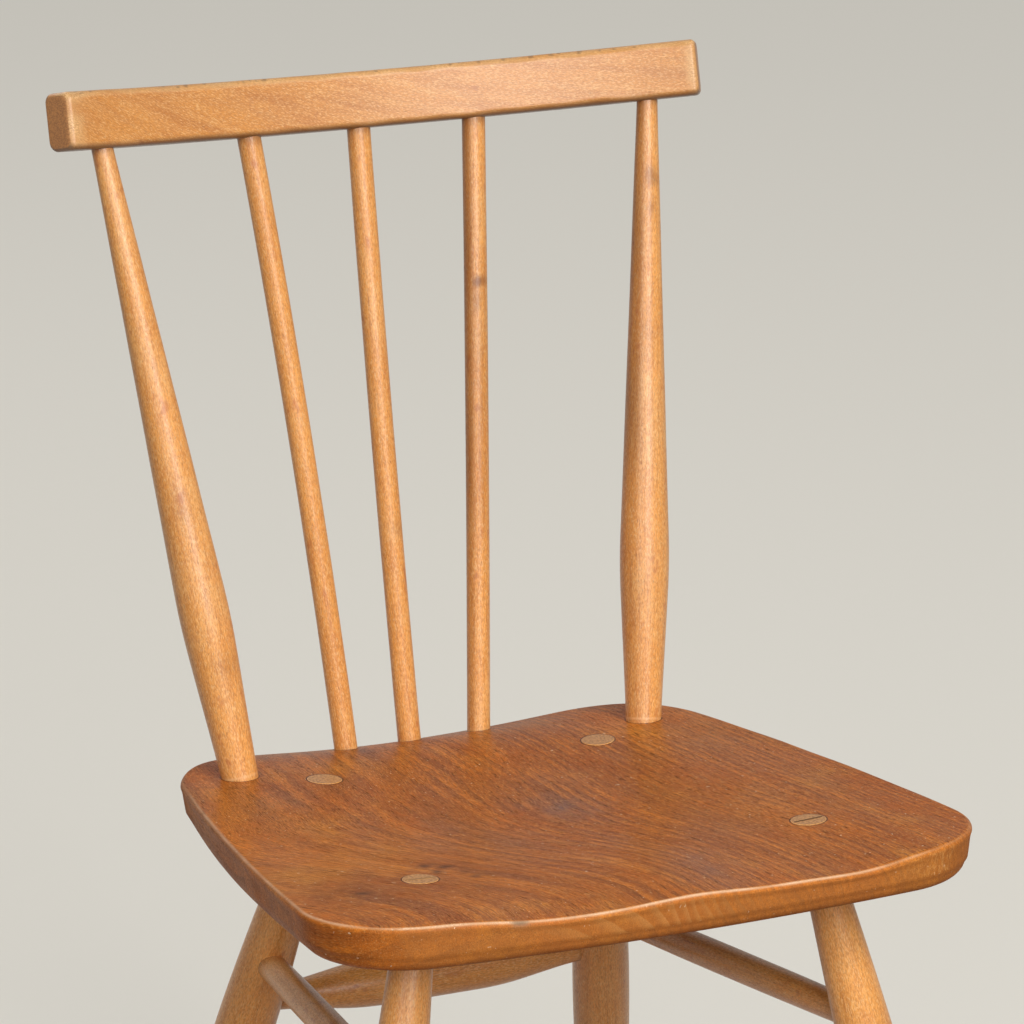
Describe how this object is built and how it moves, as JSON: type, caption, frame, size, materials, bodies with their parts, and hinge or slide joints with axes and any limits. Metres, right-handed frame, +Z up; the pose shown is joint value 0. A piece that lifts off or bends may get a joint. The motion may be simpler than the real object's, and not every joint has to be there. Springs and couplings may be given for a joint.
{
  "type": "windsor chair",
  "caption": "Wooden dining chair with a dished solid seat, splayed turned legs joined by stretchers, and a back of turned posts, slim spindles and a bent crest rail.",
  "frame": {"origin": "on the floor, under the centre of the chair's bounding box", "axes": "+Z up, +X to the chair's right as seen from the front, the front faces -Y"},
  "size_m": [0.4166, 0.4576, 0.7737],
  "materials": {
    "seat_board": "elm board, reddish brown, waxed satin",
    "bent_rail": "steam-bent beech, honey coloured, worn satin lacquer",
    "turned_wood": "turned beech, honey coloured, satin lacquer",
    "wedge_wood": "sawn hardwood end grain, dull"
  },
  "bodies": {
    "root": {"seat": "seat_board", "crest_rail": "bent_rail", "left_post": "turned_wood", "right_post": "turned_wood", "left_spindle": "turned_wood", "middle_spindle": "turned_wood", "right_spindle": "turned_wood", "front_left_leg": "turned_wood", "front_right_leg": "turned_wood", "rear_left_leg": "turned_wood", "rear_right_leg": "turned_wood", "left_stretcher": "turned_wood", "right_stretcher": "turned_wood", "rear_stretcher": "turned_wood", "left_wedge": "wedge_wood", "right_wedge": "wedge_wood"}
  },
  "joints": []
}
